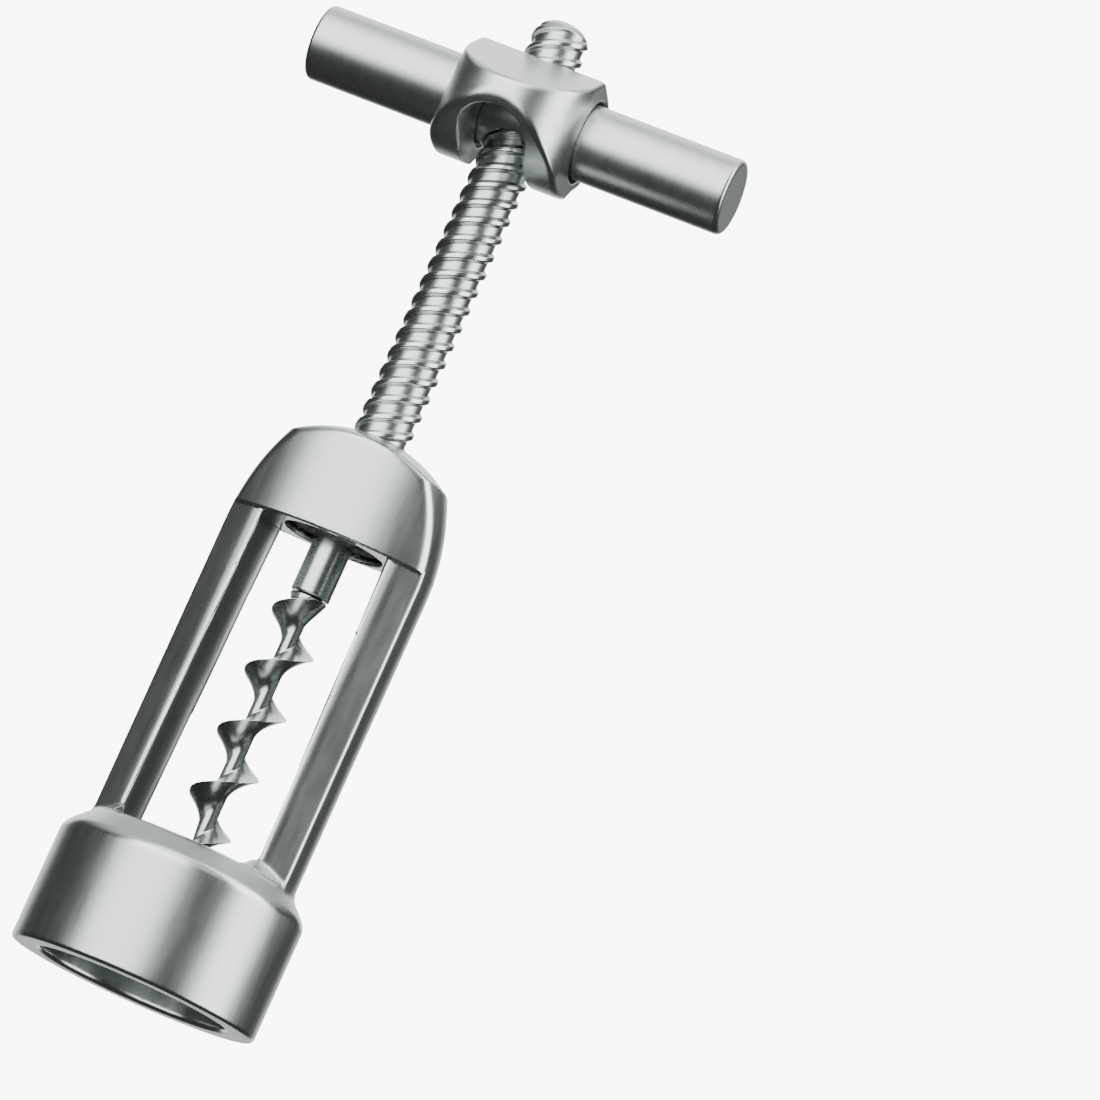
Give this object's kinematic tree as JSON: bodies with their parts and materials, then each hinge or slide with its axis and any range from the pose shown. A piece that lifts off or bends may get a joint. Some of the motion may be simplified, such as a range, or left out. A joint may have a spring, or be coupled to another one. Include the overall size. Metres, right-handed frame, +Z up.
{
  "type": "bell corkscrew",
  "caption": "T-handled bell corkscrew: open-sided bell frame, three-start threaded spindle with an auger worm, and a round bar handle with a rocking lock block.",
  "frame": {"origin": "centre of the foot of the ring, where the bell stands on the bottle or a table", "axes": "+Z up along the spindle, +X along the handle bar, -Y towards the front, where the lock block's nose points"},
  "size_m": [0.074, 0.042, 0.172],
  "materials": {
    "satin_nickel": "brushed satin nickel plate",
    "pearl_nickel": "pearl nickel plate",
    "worm_steel": "polished plated steel",
    "spring_steel": "dark spring steel",
    "nylon": "natural moulded nylon",
    "rubber": "matte rubber"
  },
  "bodies": {
    "frame": {"bell_frame": "satin_nickel", "bush_retaining_ring": "spring_steel"},
    "guide_bush": {"guide_bush": "nylon"},
    "handle": {"handle_bar": "satin_nickel", "friction_ring_left": "rubber", "friction_ring_right": "rubber"},
    "lock_block": {"lock_block": "pearl_nickel"},
    "worm_ferrule": {"worm_ferrule": "pearl_nickel"},
    "spindle": {"threaded_spindle": "pearl_nickel", "worm": "worm_steel", "worm_pin": "spring_steel"}
  },
  "joints": [
    {"name": "handle_turn", "type": "hinge", "parent": "frame", "child": "guide_bush", "pos_m": [0, 0, 0.0875], "axis": [0, 0, 1], "continuous": true},
    {"name": "handle_plunge", "type": "slide", "parent": "guide_bush", "child": "handle", "axis": [0, 0, 1], "range_m": [-0.0435, 0]},
    {"name": "spindle_lift", "type": "slide", "parent": "handle", "child": "worm_ferrule", "axis": [0, 0, 1], "range_m": [0, 0.0435]},
    {"name": "spindle_screw", "type": "hinge", "parent": "worm_ferrule", "child": "spindle", "pos_m": [0, 0, 0.09], "axis": [0, 0, 1], "range_deg": [0, 1635]},
    {"name": "lock_rock", "type": "hinge", "parent": "handle", "child": "lock_block", "pos_m": [0, 0, 0.15475], "axis": [1, 0, 0], "range_deg": [0, 25]}
  ],
  "couplings": [
    {"joint": "spindle_screw", "follows": "spindle_lift", "rad_per_m": 654.5}
  ]
}
